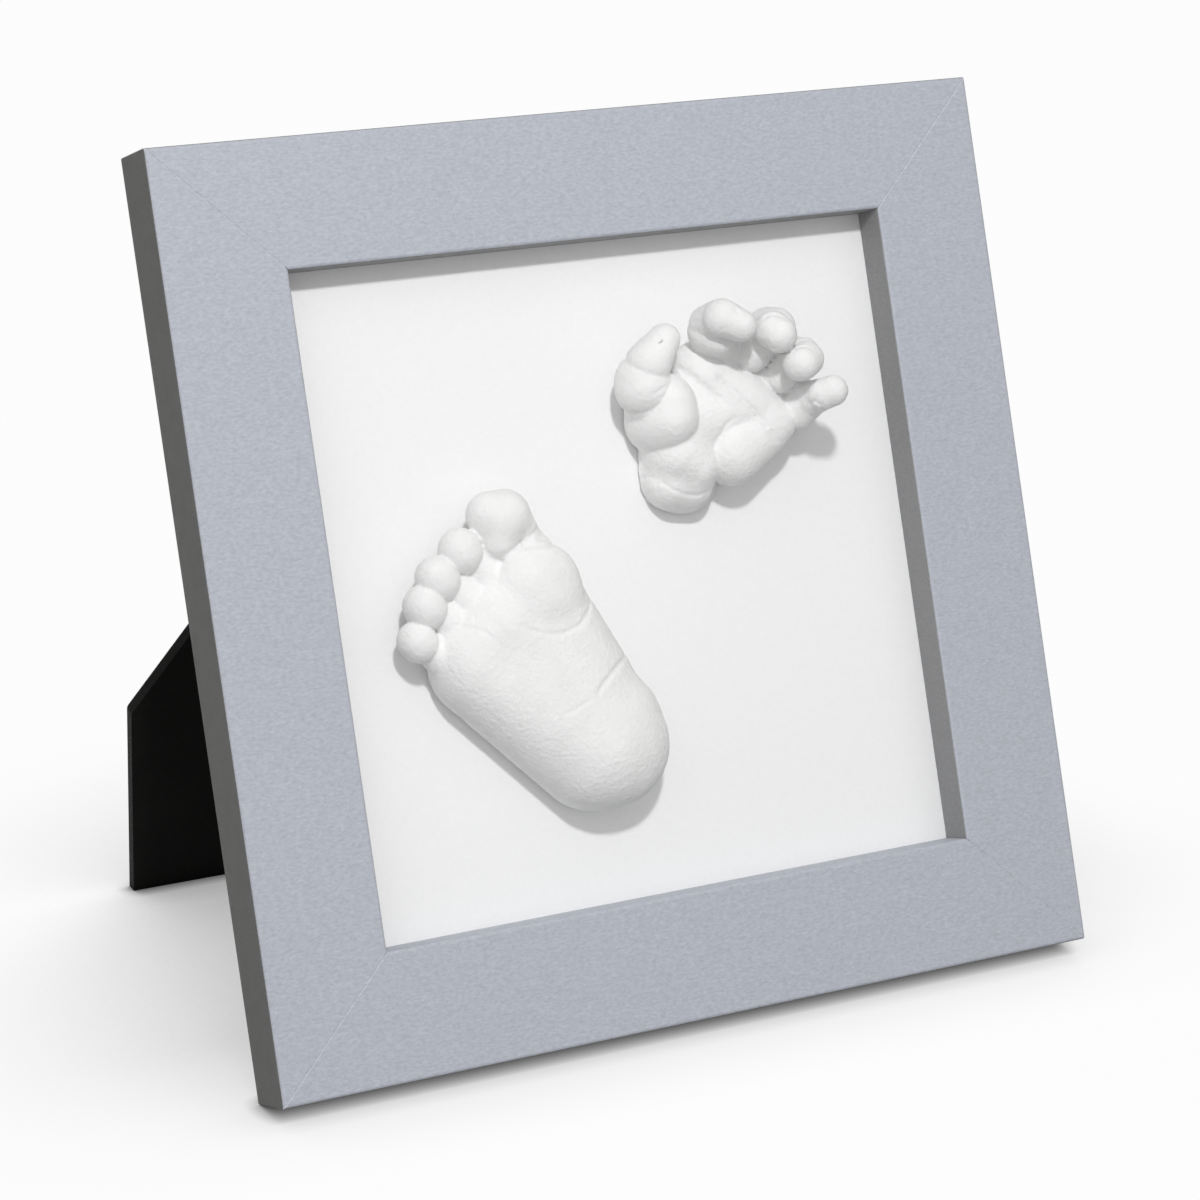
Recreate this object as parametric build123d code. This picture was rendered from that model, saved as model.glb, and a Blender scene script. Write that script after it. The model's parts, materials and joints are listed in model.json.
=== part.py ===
"""Keepsake frame: a leaning square frame with plaster casts of a baby's foot and hand, on a folding strut."""
from build123d import *
import math
import os

# Moulding, in millimetres. The frame is drawn upright: x to the right, y to the back, z up its face.
FRAME_SIDE = 200.0
RAIL_FACE = 28.0
LIP_DEPTH = 9.0
REBATE_WIDTH = 6.0
WRAP_THICK = 0.4
EDGE_ROUND = 0.9

# Board and back panel in the rebate, and how far the rails stand past the panel
BOARD_THICK = 2.5
PANEL_THICK = 2.0
PANEL_RECESS = 1.0
REBATE_GAP = 0.3

# Corner V nails, driven from the back across each mitre
V_NAIL_LEG = 5.0
V_NAIL_THICK = 0.6
V_NAIL_DEPTH = 10.0
V_NAIL_SINK = 0.4
V_NAIL_FIRST = 6.0
V_NAIL_PITCH = 7.5
DRIVEN_GAP = 0.05

# Framing points that hold the panel
POINT_WIDTH = 8.0
POINT_THICK = 0.5
POINT_EMBED = 5.0
POINT_SHOW = 6.0
POINT_SPREAD = 45.0

# Standing pose: how far the frame leans back and the strut swings out
LEAN = 22.0
STRUT_SWING = 39.0

# Strut
STRUT_THICK = 3.0
STRUT_SIDE_INSET = 7.2
STRUT_FOOT_INSET = 6.4
STRUT_SHOULDER_UP = 55.0
STRUT_TOP_HALF = 34.0
STRUT_CORNER = 2.0
STRUT_PANEL_GAP = 0.3

# Hinge at the top of the strut
HINGE_WIDTH = 50.0
LEAF_THICK = 0.8
LEAF_LENGTH = 12.0
LEAF_EDGE_GAP = 2.0
KNUCKLE_RADIUS = 2.2
KNUCKLE_COUNT = 5
KNUCKLE_GAP = 0.3
PIN_RADIUS = 1.0
PIN_RUN_GAP = 0.05
HINGE_CLEAR = 0.5
STOP_CLEAR = 0.1
RIVET_RADIUS = 1.5
RIVET_HEAD_RADIUS = 2.6
RIVET_HEAD_HEIGHT = 0.9
RIVET_FROM_END = 4.5

# Sawtooth hanger on the back of the top rail
HANGER_LENGTH = 44.0
HANGER_HEIGHT = 8.0
HANGER_THICK = 0.6
HANGER_STANDOFF = 1.4
HANGER_TAB = 7.0
HANGER_TOOTH_PITCH = 4.0
HANGER_TOOTH_DEPTH = 2.0
HANGER_NAIL_RADIUS = 0.8
HANGER_NAIL_HEAD = 1.8
HANGER_NAIL_HEAD_HEIGHT = 0.7
HANGER_NAIL_LENGTH = 9.0

# Casts. Each limb is two rounded ends: along, across, height off the board, radius.
# The foot is measured from its heel along its own axis, the hand from the middle of the board.
GLUE_THICK = 0.4
FOOT_HEEL_AT = (-12.2, -37.0)
FOOT_TURN = 38.0
FOOT_LIMBS = {
    "middle": ((3.0, -0.8, 6.0, 12.4), (36.0, 0.5, 6.2, 10.0)),
    "outer_side": ((1.8, -4.6, 5.2, 12.6), (34.0, -10.6, 5.0, 9.6)),
    "inner_side": ((13.0, 5.0, 4.6, 11.4), (33.0, 10.4, 5.6, 10.0)),
    "behind_toes": ((39.0, 10.6, 6.4, 8.4), (37.5, -9.0, 5.6, 8.4)),
    "heel": ((0.6, -1.0, 4.7, 13.7), (4.0, 0.6, 4.7, 13.6)),
    "ball": ((37.2, 11.0, 7.0, 9.6), (35.6, 10.2, 7.0, 9.6)),
    "big_neck": ((45.8, 17.4, 7.0, 4.2), (41.6, 16.0, 7.4, 5.4)),
    "big_neck_inside": ((46.0, 11.7, 7.0, 4.6), (42.7, 13.1, 7.4, 5.6)),
    "second_neck": ((49.8, 6.2, 7.0, 3.9), (42.4, 5.1, 7.0, 5.0)),
    "third_neck": ((49.6, -1.0, 6.6, 3.8), (42.0, -1.1, 6.8, 5.0)),
    "fourth_neck": ((48.0, -7.2, 6.2, 3.7), (41.1, -7.1, 6.6, 4.8)),
    "little_neck": ((44.8, -14.5, 5.8, 3.5), (39.0, -13.6, 6.4, 4.8)),
    "big_toe": ((55.2, 14.6, 9.6, 5.2), (53.4, 17.0, 9.6, 5.0)),
    "big_toe_side": ((48.2, 18.1, 9.2, 3.3), (52.1, 17.2, 9.6, 4.8)),
    "big_toe_pad": ((50.1, 11.6, 9.6, 3.6), (52.5, 14.7, 9.8, 5.4)),
    "second_toe": ((55.0, 4.5, 9.0, 4.75), (54.4, 4.2, 9.0, 4.7)),
    "third_toe": ((54.6, -3.4, 8.5, 4.75), (53.9, -3.6, 8.5, 4.7)),
    "fourth_toe": ((52.4, -9.6, 8.0, 4.7), (51.8, -9.8, 8.0, 4.6)),
    "little_toe": ((48.5, -16.0, 7.4, 4.3), (47.7, -16.1, 7.4, 4.2)),
}
FOOT_PADS = {"heel": (1.0, 0.0, 7.0), "ball": (30.0, 3.0, 6.0)}
HAND_LIMBS = {
    "palm": ((16.2, 28.9, 5.0, 8.8), (29.4, 32.4, 5.2, 8.6)),
    "palm_heel": ((11.6, 22.6, 8.0, 6.0), (17.8, 19.9, 7.8, 6.2)),
    "wrist": ((13.4, 17.0, 4.2, 5.9), (16.6, 16.3, 4.2, 6.0)),
    "wrist_skirt": ((16.0, 18.8, -6.5, 9.4), (19.6, 15.7, -5.0, 9.0)),
    "outer_mound": ((27.4, 22.1, 7.4, 7.3), (34.1, 25.4, 7.4, 6.4)),
    "knuckles": ((26.8, 44.6, 5.0, 5.4), (46.6, 30.7, 5.0, 4.8)),
    "upper_palm": ((22.0, 38.6, 7.4, 6.0), (34.0, 27.9, 7.4, 5.8)),
    "finger_pads": ((20.6, 42.2, 6.8, 4.9), (38.0, 27.3, 8.4, 4.8)),
    "thumb_mound": ((9.8, 31.4, 8.8, 8.2), (10.0, 33.8, 8.8, 7.9)),
    "thumb_core": ((8.4, 43.6, 9.0, 4.4), (7.6, 35.6, 8.6, 5.8)),
    "thumb_middle": ((6.0, 38.4, 9.8, 6.3), (6.0, 39.9, 9.8, 6.1)),
    "thumb_tip": ((7.1, 43.4, 11.8, 5.1), (11.4, 48.2, 12.6, 3.5)),
    "index_root": ((28.1, 44.1, 8.0, 4.6), (22.6, 48.2, 12.5, 4.6)),
    "index_middle": ((21.7, 48.6, 13.5, 4.4), (22.8, 47.0, 15.5, 4.1)),
    "index_bend": ((21.6, 50.3, 14.5, 4.2), (22.1, 51.0, 19.0, 4.1)),
    "index_tip": ((21.7, 50.9, 21.0, 4.2), (25.3, 48.6, 22.5, 3.5)),
    "second_root": ((33.4, 42.8, 11.0, 4.1), (35.3, 45.8, 14.0, 4.2)),
    "second_middle": ((35.9, 48.1, 15.0, 4.4), (36.4, 47.7, 18.0, 4.3)),
    "second_tip": ((34.1, 47.0, 20.5, 4.2), (34.6, 45.7, 22.0, 4.0)),
    "ring_root": ((39.9, 37.4, 11.0, 4.1), (41.8, 40.3, 13.5, 4.2)),
    "ring_middle": ((42.0, 41.3, 14.0, 4.2), (42.5, 40.7, 17.0, 4.2)),
    "ring_tip": ((41.9, 39.8, 19.5, 4.0), (39.7, 39.0, 21.0, 4.0)),
    "little_root": ((43.4, 29.0, 9.6, 4.3), (45.3, 31.3, 13.0, 4.1)),
    "little_middle": ((45.2, 31.1, 14.0, 3.8), (45.7, 31.7, 17.0, 3.6)),
    "little_tip": ((45.5, 31.7, 18.5, 3.5), (47.2, 32.2, 20.0, 3.45)),
}
HAND_PADS = {"palm": (17.0, 29.0, 5.0), "side": (28.5, 31.5, 5.0)}

# Sizes that follow from the ones above
CENTRE_HEIGHT = FRAME_SIDE / 2
BACK_WIDTH = RAIL_FACE - REBATE_WIDTH
PANEL_SIDE = FRAME_SIDE - 2 * (BACK_WIDTH + REBATE_GAP)
BOARD_BACK = LIP_DEPTH + BOARD_THICK
PANEL_BACK = BOARD_BACK + PANEL_THICK
RAIL_DEPTH = PANEL_BACK + PANEL_RECESS
STRUT_FRONT = RAIL_DEPTH + STRUT_PANEL_GAP
STRUT_BACK = STRUT_FRONT + STRUT_THICK
HINGE_DEPTH = (STRUT_FRONT + STRUT_BACK) / 2
HINGE_HEIGHT = FRAME_SIDE - BACK_WIDTH - LEAF_EDGE_GAP - LEAF_LENGTH
KNUCKLE_PITCH = HINGE_WIDTH / KNUCKLE_COUNT
KNUCKLE_REACH = KNUCKLE_RADIUS + HINGE_CLEAR
RIVET_SPREAD = (HINGE_WIDTH - KNUCKLE_PITCH) / 2
STRUT_TOP = HINGE_HEIGHT - KNUCKLE_REACH
STRUT_SHOULDER_HALF = FRAME_SIDE / 2 - STRUT_SIDE_INSET
STRUT_FOOT_HALF = STRUT_SHOULDER_HALF - STRUT_FOOT_INSET


def leaned(y, z):
    """Where a point of the upright frame lies once it leans back on the bottom edge of its back face."""
    angle = math.radians(LEAN)
    back = y - RAIL_DEPTH
    return back * math.cos(angle) + z * math.sin(angle), z * math.cos(angle) - back * math.sin(angle)


def strut_run(offset):
    """Length from the hinge axis to the floor, along a strut face this far behind the strut's middle."""
    tilt = math.radians(STRUT_SWING - LEAN)
    return (leaned(HINGE_DEPTH, HINGE_HEIGHT)[1] + offset * math.sin(tilt)) / math.cos(tilt)


def strut_heel_back():
    """How far behind the leaning edge the strut's foot reaches on the floor."""
    tilt = math.radians(STRUT_SWING - LEAN)
    offset = STRUT_THICK / 2
    return leaned(HINGE_DEPTH, HINGE_HEIGHT)[0] + strut_run(offset) * math.sin(tilt) + offset * math.cos(tilt)


STRUT_LENGTH = strut_run(0.0)
STANDING_SHIFT = -(leaned(0.0, 0.0)[0] + strut_heel_back()) / 2
STAND = Pos(0, STANDING_SHIFT, 0) * Rot(X=-LEAN) * Pos(0, -RAIL_DEPTH, 0)
SWING = Pos(0, HINGE_DEPTH, HINGE_HEIGHT) * Rot(X=STRUT_SWING) * Pos(0, -HINGE_DEPTH, -HINGE_HEIGHT)


def plate(outline, front, back):
    """An outline drawn on the frame's face (x, z), filled from one depth to another."""
    plane = Plane(origin=(0, back, 0), x_dir=(1, 0, 0), z_dir=(0, -1, 0))
    return extrude(plane * outline, back - front)


def disc(x, z, radius, front, back):
    """A round bar along y."""
    return plate(Pos(x, z) * Circle(radius), front, back)


def block(x_range, y_range, z_range):
    """A box between three pairs of limits."""
    middle = [sum(pair) / 2 for pair in (x_range, y_range, z_range)]
    size = [max(pair) - min(pair) for pair in (x_range, y_range, z_range)]
    return Pos(*middle) * Box(*size)


def quarter_turns(shape, count):
    """The shape turned about the middle of the frame's face by this many quarter turns."""
    return Pos(0, 0, CENTRE_HEIGHT) * Rot(Y=90 * count) * Pos(0, 0, -CENTRE_HEIGHT) * shape


def rail_profile(inset):
    """Section of a rail, across its face and into its depth, with this much taken off its wrapped sides."""
    outline = Polygon(
        (inset, inset),
        (RAIL_FACE - inset, inset),
        (RAIL_FACE - inset, LIP_DEPTH),
        (BACK_WIDTH, LIP_DEPTH),
        (BACK_WIDTH, RAIL_DEPTH),
        (inset, RAIL_DEPTH),
        align=None,
    )
    return fillet(outline.vertices().group_by(Axis.Y)[0], EDGE_ROUND - inset)


def mitred(profile):
    """The bottom rail of a profile, cut at both ends on the mitres."""
    half = FRAME_SIDE / 2
    plane = Plane(origin=(half, 0, 0), x_dir=(0, 0, 1), z_dir=(-1, 0, 0))
    bar = extrude(plane * profile, FRAME_SIDE)
    inner = half - RAIL_FACE
    wedge = Polygon((-half, 0), (half, 0), (inner, RAIL_FACE), (-inner, RAIL_FACE), align=None)
    return bar & plate(wedge, -RAIL_DEPTH, 2 * RAIL_DEPTH)


def v_nail(first, grow):
    """One V nail across the bottom left mitre: a leg along each rail from their shared corner."""
    start = first - grow
    end = first + V_NAIL_LEG + grow
    inner = first + V_NAIL_THICK + grow
    corners = [(start, start), (end, start), (end, inner), (inner, inner), (inner, end), (start, end)]
    outline = Polygon(*corners, align=None)
    deep = RAIL_DEPTH - V_NAIL_SINK - V_NAIL_DEPTH - grow
    back = RAIL_DEPTH if grow else RAIL_DEPTH - V_NAIL_SINK
    return Pos(-FRAME_SIDE / 2, 0, 0) * plate(outline, deep, back)


def v_nails(grow=0.0):
    """Two V nails at each corner."""
    first_two = [v_nail(V_NAIL_FIRST + step * V_NAIL_PITCH, grow) for step in range(2)]
    return [quarter_turns(nail, corner) for corner in range(4) for nail in first_two]


def framing_point(x, grow):
    """A flat steel point on the bottom side: its tip in the rail, its tail over the panel."""
    half = POINT_WIDTH / 2 + grow
    tip = BACK_WIDTH - POINT_EMBED - grow
    tail = BACK_WIDTH + POINT_SHOW
    corners = [(0, tip), (half, BACK_WIDTH), (half, tail), (-half, tail), (-half, BACK_WIDTH)]
    outline = Pos(x, 0) * Polygon(*corners, align=None)
    return plate(outline, PANEL_BACK - grow, PANEL_BACK + POINT_THICK + grow)


def framing_points(grow=0.0):
    """Two points on each side of the rebate."""
    first_two = [framing_point(side * POINT_SPREAD, grow) for side in (-1, 1)]
    return [quarter_turns(point, side) for side in range(4) for point in first_two]


def hanger_nail_places():
    """Where the hanger's two nails go on the frame's back."""
    along = HANGER_LENGTH / 2 - HANGER_TAB / 2
    return [(side * along, FRAME_SIDE - BACK_WIDTH / 2) for side in (-1, 1)]


def hanger_nails(grow=0.0):
    """The hanger's nails, or with some growth the holes they are driven into."""
    head_front = RAIL_DEPTH + HANGER_THICK
    nails = []
    for x, z in hanger_nail_places():
        shank = disc(x, z, HANGER_NAIL_RADIUS + grow, head_front - HANGER_NAIL_LENGTH - grow, head_front)
        head = disc(x, z, HANGER_NAIL_HEAD, head_front, head_front + HANGER_NAIL_HEAD_HEIGHT)
        nails.append(shank if grow else shank + head)
    return nails


def sawtooth_hanger():
    """A strip that stands off the rail between two nailed tabs, with teeth along its lower edge."""
    height = FRAME_SIDE - BACK_WIDTH / 2
    half = HANGER_LENGTH / 2
    inner = half - HANGER_TAB
    rise = inner - HANGER_STANDOFF
    face = RAIL_DEPTH
    outer = face + HANGER_THICK
    side = [(half, face), (inner, face), (rise, face + HANGER_STANDOFF)]
    top = [(rise, outer + HANGER_STANDOFF), (inner, outer), (half, outer)]
    mirror = [(-x, y) for x, y in reversed(side)]
    mirror_top = [(-x, y) for x, y in reversed(top)]
    outline = Polygon(*side, *mirror, *mirror_top, *top, align=None)
    low = height - HANGER_HEIGHT / 2
    strip = Pos(0, 0, low) * extrude(outline, HANGER_HEIGHT, dir=(0, 0, 1))
    count = int(2 * (rise - HANGER_TOOTH_PITCH / 2) / HANGER_TOOTH_PITCH)
    for index in range(count):
        x = (index - (count - 1) / 2) * HANGER_TOOTH_PITCH
        step = HANGER_TOOTH_PITCH / 2
        notch = Polygon((x - step, low), (x + step, low), (x, low + HANGER_TOOTH_DEPTH), align=None)
        strip -= plate(notch, face, outer + 2 * HANGER_STANDOFF)
    for x, z in hanger_nail_places():
        strip -= disc(x, z, HANGER_NAIL_RADIUS + DRIVEN_GAP, face, outer)
    return strip


def strut_outline(foot):
    """House shape of the strut: wide at the shoulders, in a little at the foot, narrow at the hinge."""
    shoulder = HINGE_HEIGHT - STRUT_LENGTH + STRUT_SHOULDER_UP
    right = [(STRUT_FOOT_HALF, foot), (STRUT_SHOULDER_HALF, shoulder), (STRUT_TOP_HALF, STRUT_TOP)]
    left = [(-x, z) for x, z in reversed(right)]
    outline = Polygon(*right, *left, align=None)
    upper = [corner for corner in outline.vertices() if corner.Y > foot + STRUT_CORNER]
    return fillet(upper, STRUT_CORNER)


def floor_cut():
    """Everything under the floor, in the strut's folded place."""
    reach = 2 * FRAME_SIDE
    under = block((-reach, reach), (-reach, reach), (-reach, 0))
    return SWING.inverse() * STAND.inverse() * under


def rivet_places(direction):
    """Places of a leaf's rivets: above the hinge axis for the panel leaf, below it for the strut leaf."""
    height = HINGE_HEIGHT + direction * (LEAF_LENGTH - RIVET_FROM_END)
    return [(side * RIVET_SPREAD, height) for side in (-1, 1)]


def rivets(direction, front, seat):
    """Rivets that end flush at the front and have their heads on the leaf."""
    made = []
    for x, z in rivet_places(direction):
        shank = disc(x, z, RIVET_RADIUS, front, seat)
        made.append(shank + disc(x, z, RIVET_HEAD_RADIUS, seat, seat + RIVET_HEAD_HEIGHT))
    return made


def pierced(shape, direction, front, back):
    """The shape with holes for a leaf's rivets."""
    for x, z in rivet_places(direction):
        shape -= disc(x, z, RIVET_RADIUS + DRIVEN_GAP, front, back)
    return shape


def knuckle_spans(own):
    """The stretches of the hinge that belong to one leaf: the even ones to the panel, the odd to the strut."""
    left = -HINGE_WIDTH / 2
    shy = KNUCKLE_GAP / 2
    spans = range(own, KNUCKLE_COUNT, 2)
    return [(left + i * KNUCKLE_PITCH + shy, left + (i + 1) * KNUCKLE_PITCH - shy) for i in spans]


def hinge_leaf(own, direction, front, back, bore):
    """A plate with its knuckles: direction is +1 above the axis and -1 below it."""
    near = HINGE_HEIGHT + direction * KNUCKLE_REACH
    far = HINGE_HEIGHT + direction * LEAF_LENGTH
    curl = HINGE_HEIGHT + direction * (KNUCKLE_RADIUS - LEAF_THICK)
    web_depth = (min(front, HINGE_DEPTH), max(back, HINGE_DEPTH))
    leaf = block((-HINGE_WIDTH / 2, HINGE_WIDTH / 2), (front, back), (near, far))
    for start, end in knuckle_spans(own):
        leaf += block((start, end), web_depth, (curl, near))
        barrel = Plane(origin=(start, HINGE_DEPTH, HINGE_HEIGHT), z_dir=(1, 0, 0))
        leaf += extrude(barrel * Circle(KNUCKLE_RADIUS), end - start)
        leaf -= extrude(barrel * Circle(bore), end - start)
    return pierced(leaf, direction, front, back)


def stop_tab():
    """Tab of the strut leaf that meets the panel leaf when the strut is fully out."""
    angle = math.radians(STRUT_SWING)
    inner = STRUT_BACK - HINGE_DEPTH
    drop = HINGE_DEPTH - PANEL_BACK - LEAF_THICK - STOP_CLEAR
    length = (inner * math.cos(angle) + drop) / math.sin(angle)
    depth = (STRUT_BACK, STRUT_BACK + LEAF_THICK)
    tabs = Part()
    for span in knuckle_spans(1):
        tabs += block(span, depth, (HINGE_HEIGHT, HINGE_HEIGHT + length))
    return tabs


def limb(start, end, start_radius, end_radius):
    """A tapered limb with round ends: an arc, a tangent line and an arc, spun about the line of centres."""
    axis = Vector(*end) - Vector(*start)
    slope = math.asin((start_radius - end_radius) / axis.length)

    def rim(centre, radius, angle):
        return radius * math.cos(angle), centre + radius * math.sin(angle)

    quarter = math.pi / 2
    bottom = (0, -start_radius)
    top = (0, axis.length + end_radius)
    low_rims = [rim(0, start_radius, angle) for angle in ((slope - quarter) / 2, slope)]
    high_rims = [rim(axis.length, end_radius, angle) for angle in (slope, (slope + quarter) / 2)]
    low = ThreePointArc(bottom, *low_rims)
    high = ThreePointArc(*high_rims, top)
    outline = make_face([low, Line(low @ 1, high @ 0), high, Line(top, bottom)])
    return Plane(origin=start, z_dir=axis) * revolve(Plane.XZ * outline, Axis.Z)


def on_board(x, z, height):
    """A place on the board: across and up from its middle, and off its face."""
    return x, LIP_DEPTH - height, CENTRE_HEIGHT + z


def on_foot(along, across, height):
    """A place on the foot cast: from the heel along the foot, across it, and off the board."""
    turn = math.radians(FOOT_TURN)
    x = FOOT_HEEL_AT[0] - along * math.sin(turn) + across * math.cos(turn)
    z = FOOT_HEEL_AT[1] + along * math.cos(turn) + across * math.sin(turn)
    return on_board(x, z, height)


def cast(pieces):
    """Limbs joined into one cast, with a flat back on its glue."""
    wide = (-FRAME_SIDE, 2 * FRAME_SIDE)
    behind = block(wide, (LIP_DEPTH - GLUE_THICK, FRAME_SIDE), wide)
    body = pieces[0]
    for piece in pieces[1:]:
        body += piece
    return body - behind


def limbs(named, place):
    """Every limb of a list, put in place."""
    return [limb(place(*a[:3]), place(*b[:3]), a[3], b[3]) for a, b in named.values()]


def foot_cast():
    """Sole, ball, toe necks and toes."""
    return cast(limbs(FOOT_LIMBS, on_foot))


def hand_cast():
    """Palm, wrist, thumb and curled fingers."""
    return cast(limbs(HAND_LIMBS, on_board))


def glue_pads(named, place):
    """Round pads of glue between a cast and the board."""
    pads = []
    for along, across, radius in named.values():
        x, y, z = place(along, across, 0.0)
        pads.append(disc(x, z, radius, y - GLUE_THICK, y))
    return pads


def build():
    """Every piece in the upright frame, with the strut swung out."""
    nodes = {}
    driven = v_nails(DRIVEN_GAP) + framing_points(DRIVEN_GAP) + hanger_nails(DRIVEN_GAP)
    core = mitred(rail_profile(WRAP_THICK))
    wrap = mitred(rail_profile(0.0)) - core
    for turns, side in enumerate(("bottom", "left", "top", "right")):
        nodes[side + "_rail"] = quarter_turns(core, turns) - driven
        nodes[side + "_rail_wrap"] = quarter_turns(wrap, turns)
    nodes["corner_v_nails"] = Compound(children=v_nails())
    nodes["framing_points"] = Compound(children=framing_points())
    nodes["sawtooth_hanger"] = sawtooth_hanger()
    nodes["hanger_nails"] = Compound(children=hanger_nails())

    square = Pos(0, CENTRE_HEIGHT) * Rectangle(PANEL_SIDE, PANEL_SIDE)
    leaf_seat = PANEL_BACK + LEAF_THICK
    nodes["display_board"] = plate(square, LIP_DEPTH, BOARD_BACK)
    nodes["back_panel"] = pierced(plate(square, BOARD_BACK, PANEL_BACK), 1, BOARD_BACK, PANEL_BACK)
    nodes["hinge_panel_leaf"] = hinge_leaf(0, 1, PANEL_BACK, leaf_seat, PIN_RADIUS)
    nodes["hinge_panel_rivets"] = Compound(children=rivets(1, BOARD_BACK, leaf_seat))
    pin_start = Plane(origin=(-HINGE_WIDTH / 2, HINGE_DEPTH, HINGE_HEIGHT), z_dir=(1, 0, 0))
    nodes["hinge_pin"] = extrude(pin_start * Circle(PIN_RADIUS), HINGE_WIDTH)

    strut_seat = STRUT_BACK + LEAF_THICK
    blank = plate(strut_outline(HINGE_HEIGHT - STRUT_LENGTH - STRUT_THICK), STRUT_FRONT, STRUT_BACK)
    strut = pierced(blank - floor_cut(), -1, STRUT_FRONT, STRUT_BACK)
    leaf = hinge_leaf(1, -1, STRUT_BACK, strut_seat, PIN_RADIUS + PIN_RUN_GAP) + stop_tab()
    leaf -= extrude(pin_start * Circle(PIN_RADIUS + PIN_RUN_GAP), HINGE_WIDTH)
    nodes["strut"] = SWING * strut
    nodes["hinge_strut_leaf"] = SWING * leaf
    nodes["hinge_strut_rivets"] = SWING * Compound(children=rivets(-1, STRUT_FRONT, strut_seat))

    nodes["foot_cast"] = foot_cast()
    nodes["hand_cast"] = hand_cast()
    nodes["foot_glue_pads"] = Compound(children=glue_pads(FOOT_PADS, on_foot))
    nodes["hand_glue_pads"] = Compound(children=glue_pads(HAND_PADS, on_board))
    return nodes


def main():
    """Stand every piece in the leaning pose and write it out."""
    os.makedirs("parts", exist_ok=True)
    for name, shape in build().items():
        export_step(STAND * shape, f"parts/{name}.step")


if __name__ == "__main__":
    main()
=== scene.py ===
"""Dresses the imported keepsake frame: wrapped rails, white board, folding strut and two plaster casts."""
import json
import math

import bpy
import numpy as np
from bpy.props import FloatProperty, FloatVectorProperty, IntProperty, PointerProperty
from mathutils import Matrix, Vector


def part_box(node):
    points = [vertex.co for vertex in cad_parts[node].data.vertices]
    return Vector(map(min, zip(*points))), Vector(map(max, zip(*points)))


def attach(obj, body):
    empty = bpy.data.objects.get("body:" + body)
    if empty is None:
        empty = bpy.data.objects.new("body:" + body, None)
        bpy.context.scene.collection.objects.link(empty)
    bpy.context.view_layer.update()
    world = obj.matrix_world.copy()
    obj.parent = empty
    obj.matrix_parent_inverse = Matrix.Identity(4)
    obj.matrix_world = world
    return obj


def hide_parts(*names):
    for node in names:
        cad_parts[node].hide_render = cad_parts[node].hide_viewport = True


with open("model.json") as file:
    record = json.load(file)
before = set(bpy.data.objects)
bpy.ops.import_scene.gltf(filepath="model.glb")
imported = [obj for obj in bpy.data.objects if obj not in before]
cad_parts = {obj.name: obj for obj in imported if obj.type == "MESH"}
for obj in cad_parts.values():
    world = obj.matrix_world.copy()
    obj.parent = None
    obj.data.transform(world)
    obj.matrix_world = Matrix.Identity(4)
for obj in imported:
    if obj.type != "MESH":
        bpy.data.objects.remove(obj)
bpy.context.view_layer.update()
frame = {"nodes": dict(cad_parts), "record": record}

bl_info = {
    "name": "Keepsake cast frame",
    "version": (1, 0, 0),
    "blender": (4, 5, 0),
    "location": "View3D > Sidebar > Keepsake",
    "description": "Builds the pieces of a leaning keepsake frame with plaster casts of a foot and a hand",
    "category": "Object",
}

MM = 0.001
RAIL_SIDES = ("bottom", "left", "top", "right")
RAIL_LOW, RAIL_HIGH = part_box("bottom_rail_wrap")
FRAME_SIDE = RAIL_HIGH.x - RAIL_LOW.x
BACK_MOUNT = next(mount for mount in frame["record"]["mounts"] if mount["name"] == "wall_face")
BACK_OUT = Vector(BACK_MOUNT["axis"])
LEAN = math.atan2(-BACK_OUT.z, BACK_OUT.y)

# Points nearer than this are one point, faces nearer to flat than this are one face, and edges
# sharper than this get a rounding. The wrap's rounded front edges shade smoothly up to their own angle.
SAME_PLACE = 1e-6
FLAT_ANGLE = math.radians(1.0)
SHARP_ANGLE = math.radians(40.0)
WRAP_SMOOTH_ANGLE = math.radians(35.0)

# The papers of a wrap, in the order of their materials: lit and shaded copies of one grey paper, with painted
# shade on the outside and inside papers and a painted highlight on the cut edge's. A face has the front's
# paper if it looks forward by more than the first share, and the cut edge's if it looks forward and sideways
# by the second.
FRONT_PAPER, OUTER_SHADE_PAPER, INNER_SHADE_PAPER, EDGE_HIGHLIGHT_PAPER = range(4)
FRONT_SHARE = 0.6
HIGHLIGHT_SHARE = 0.3

# The middle range of a noise pattern, which is spread over a finish's tones and roughness.
PATTERN_LOW = 0.3
PATTERN_HIGH = 0.7

# How a cast's surface is found, in millimetres: its first grain as a multiple of its last one, the step
# that measures a slope, the least steepness, and the share and the longest length of a move.
COARSE_GRAIN = 1.6
SLOPE_STEP = 0.02
LEAST_STEEPNESS = 0.25
MOVE_SHARE = 0.9
LONGEST_MOVE = 1.5

# How a skin fold fades: its share of the depth at its very ends, and how its sides fall off.
FOLD_END = 0.15
FOLD_FALL = 1.6

# A bead's place on a cast is looked for up to this height off the board, in these steps.
CAST_TOP = 30.0
BEAD_STEP = 0.05

# The floor: its width, how white it looks, and how finely its painted shadows are sampled.
FLOOR_WIDTH = 12.0
FLOOR_WHITE = 0.97
SHADOW_SAMPLES = 16

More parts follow.
